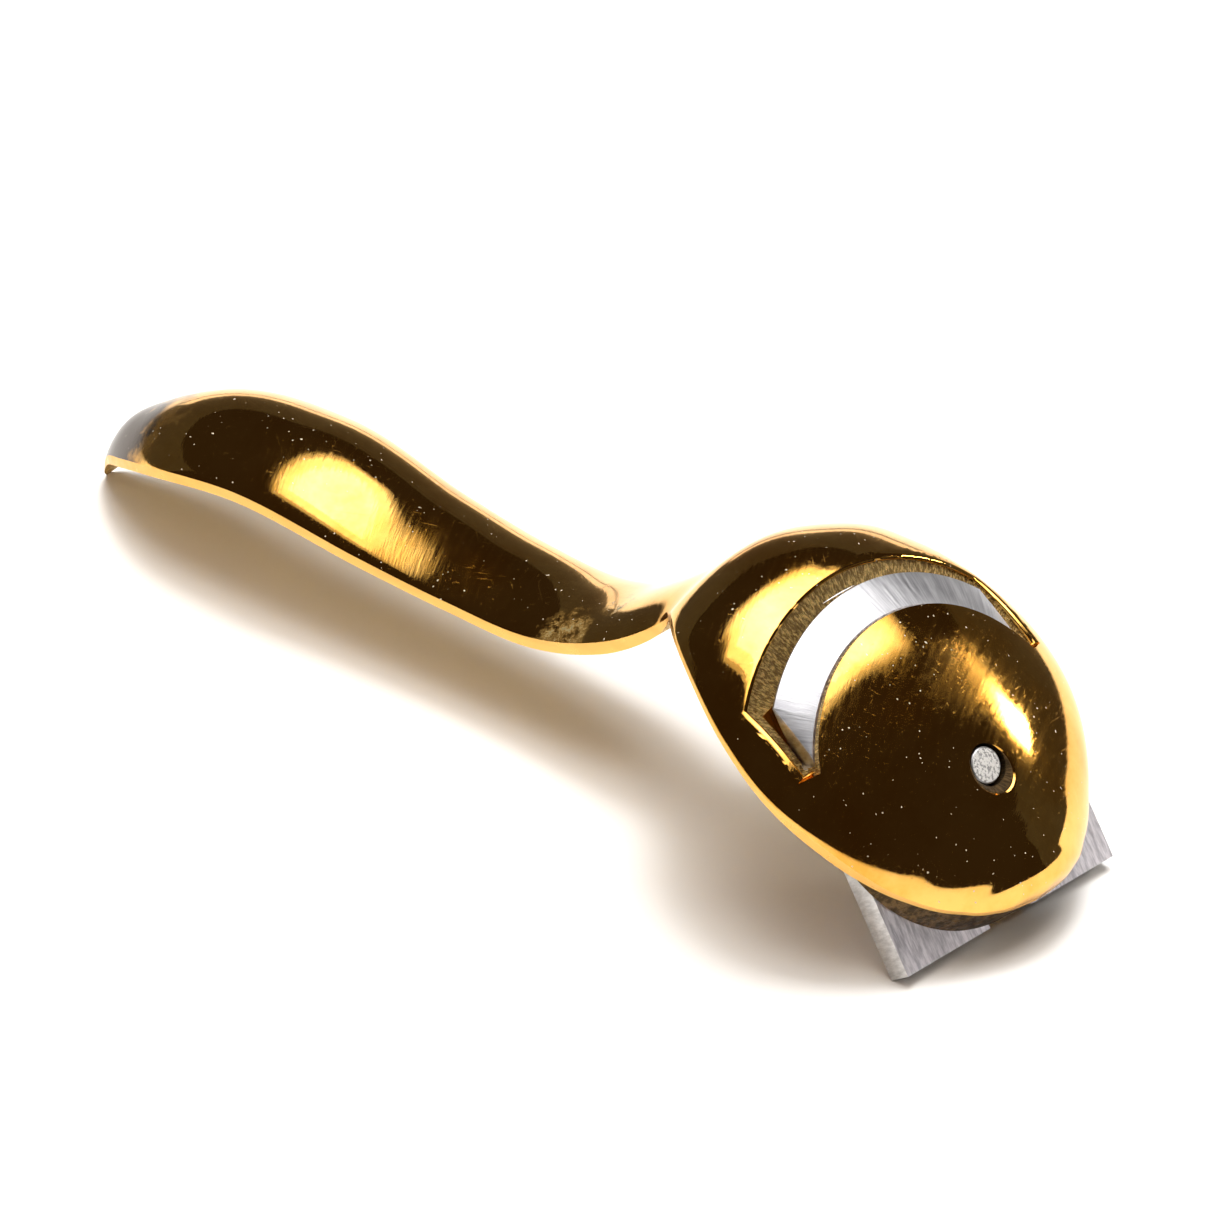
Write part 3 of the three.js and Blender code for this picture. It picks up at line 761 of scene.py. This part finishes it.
def direction(azimuth, elevation):
    """Unit vector from two angles in degrees; the azimuth runs from +X towards +Y."""
    a, e = math.radians(azimuth), math.radians(elevation)
    return Vector((math.cos(a) * math.cos(e), math.sin(a) * math.cos(e), math.sin(e)))


def add_camera():
    data = bpy.data.cameras.new("camera")
    data.sensor_width = SENSOR_WIDTH
    data.lens = data.sensor_width * DISTANCE / VIEW_WIDTH
    data.clip_start, data.clip_end = 0.1, 100
    camera = bpy.data.objects.new("camera", data)
    bpy.context.collection.objects.link(camera)
    back = Vector((math.sin(AZIMUTH) * math.cos(ELEVATION),
                   -math.cos(AZIMUTH) * math.cos(ELEVATION), math.sin(ELEVATION)))
    camera.location = TARGET + back * DISTANCE
    camera.rotation_mode = "QUATERNION"
    camera.rotation_quaternion = back.to_track_quat("Z", "Y")
    bpy.context.scene.camera = camera


def add_light(name, location, size, power, color, glossy=True):
    """A rectangular light that faces straight down until it is turned."""
    data = bpy.data.lights.new(name, "AREA")
    data.shape = "RECTANGLE"
    data.size, data.size_y = size
    data.energy = power
    data.color = color
    light = bpy.data.objects.new(name, data)
    bpy.context.collection.objects.link(light)
    light.location = location
    light.visible_glossy = glossy
    return light


def add_stage():
    """A pale floor, and a room that is dark in reflections and white where the camera sees it."""
    look = Look("seamless_floor")
    look.finish(FLOOR_TONE, 0.9, metallic=0.0)
    look.shader.inputs["Specular IOR Level"].default_value = 0.1
    signs = ((-1, -1), (1, -1), (1, 1), (-1, 1))
    corners = [(x * FLOOR_HALF, y * FLOOR_HALF, 0) for x, y in signs]
    floor = new_object("floor", corners, [(0, 1, 2, 3)], [look.material])
    world = bpy.data.worlds.new("studio")
    world.use_nodes = True
    nodes, links = world.node_tree.nodes, world.node_tree.links
    dark = nodes["Background"]
    dark.inputs["Color"].default_value = ROOM_TONE
    pale = nodes.new("ShaderNodeBackground")
    pale.inputs["Color"].default_value = SEEN_ROOM_TONE
    seen = nodes.new("ShaderNodeLightPath")
    mix = nodes.new("ShaderNodeMixShader")
    links.new(seen.outputs["Is Camera Ray"], mix.inputs["Fac"])
    links.new(dark.outputs["Background"], mix.inputs[1])
    links.new(pale.outputs["Background"], mix.inputs[2])
    links.new(mix.outputs["Shader"], nodes["World Output"].inputs["Surface"])
    bpy.context.scene.world = world
    bpy.context.scene.view_settings.view_transform = "Standard"


def add_backdrops():
    """A pale sweep far behind the tool and a dim wall behind that, for its sides to mirror."""
    for name, first, last, radius, height, glow in BACKDROPS:
        look = Look(name)
        look.finish(BACKDROP_TONE, 0.9, metallic=0.0)
        look.shader.inputs["Emission Color"].default_value = BACKDROP_GLOW_TONE
        look.shader.inputs["Emission Strength"].default_value = glow
        arc = [math.radians(a) for a in range(first, last + 1, BACKDROP_STEP)]
        count = len(arc)
        points = [(radius * math.cos(a), radius * math.sin(a), z)
                  for z in (BACKDROP_FOOT, height) for a in arc]
        faces = [(i, i + 1, count + i + 1, count + i) for i in range(count - 1)]
        new_object(name, points, faces, [look.material])


def add_lights():
    for name, size, drop, radiance in CEILING:
        power = radiance * math.pi * size[0] * size[1]
        place = TARGET + CEILING_PLACE - Vector((0, 0, drop))
        add_light(name, place, size, power, CEILING_COLOR)
    for name, azimuth, elevation, distance, size, power, color, glossy in LAMPS:
        towards = direction(azimuth, elevation)
        light = add_light(name, TARGET + towards * distance, size, power, color, glossy)
        light.rotation_mode = "QUATERNION"
        light.rotation_quaternion = towards.to_track_quat("Z", "Y")


# ---- build ------------------------------------------------------------------------------------
add_camera()
add_stage()
add_backdrops()
add_lights()

polished = polished_brass()
satin = satin_brass()
cast = cast_brass("brass_cast", MOULD_TONES, 0.28)
wall = cast_brass("brass_wall", WALL_TONES, 0.22, 4200, stretch=(1, 3, 3))
# painted shade: near-black brass on the bores, the countersink and the skirt, standing in for the
# shade that falls there
bore = cast_brass("brass_painted_shade", PAINTED_SHADE_TONES, 0.35, 900, 0.0002)
body = brass_body(polished, satin, cast, wall, bore)
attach(body, "casting")
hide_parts("body_casting")

steel_face = ground_steel(
    "steel_face", lambda look: look.mapped((1, 6, 2), source=look.from_pin()),
    FACE_TONES, (0.36, 0.52), 0.3)
steel_side = ground_steel(
    "steel_side", lambda look: look.mapped((3, 1, 3), source=look.from_pin()),
    SIDE_TONES, (0.30, 0.42), 0.2)
steel_bevel = ground_steel(
    "steel_bevel", lambda look: look.mapped((1, 16, 16), source=look.round_pin(BEVEL_GRAIN_RADIUS)),
    BEVEL_TONES, (0.36, 0.48), 0.35, 2400)
plate = cutter_plate(steel_face, steel_side, steel_bevel)
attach(plate, "cutter")
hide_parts("cutter_plate")

pin = guide_pin(grainy_steel(), turned_metal("pin_side", PIN_SIDE_TONE, 0.25))
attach(pin, "cutter")
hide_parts("guide_pin")

for node, tone, rough in (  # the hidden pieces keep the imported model's own meshes
    ("guide_bush", (0.69, 0.48, 0.23), 0.3),
    ("retaining_ring", (0.20, 0.20, 0.22), 0.35),
    ("return_spring", (0.62, 0.62, 0.62), 0.2),
    ("plate_washer", (0.68, 0.68, 0.68), 0.25),
    ("lock_nut", (0.68, 0.68, 0.66), 0.25),
    ("locating_dowel_left", (0.6, 0.6, 0.62), 0.2),
    ("locating_dowel_right", (0.6, 0.6, 0.62), 0.2),
):
    piece = NODES[node]
    piece.data.materials.clear()
    piece.data.materials.append(turned_metal(node + "_metal", tone, rough))
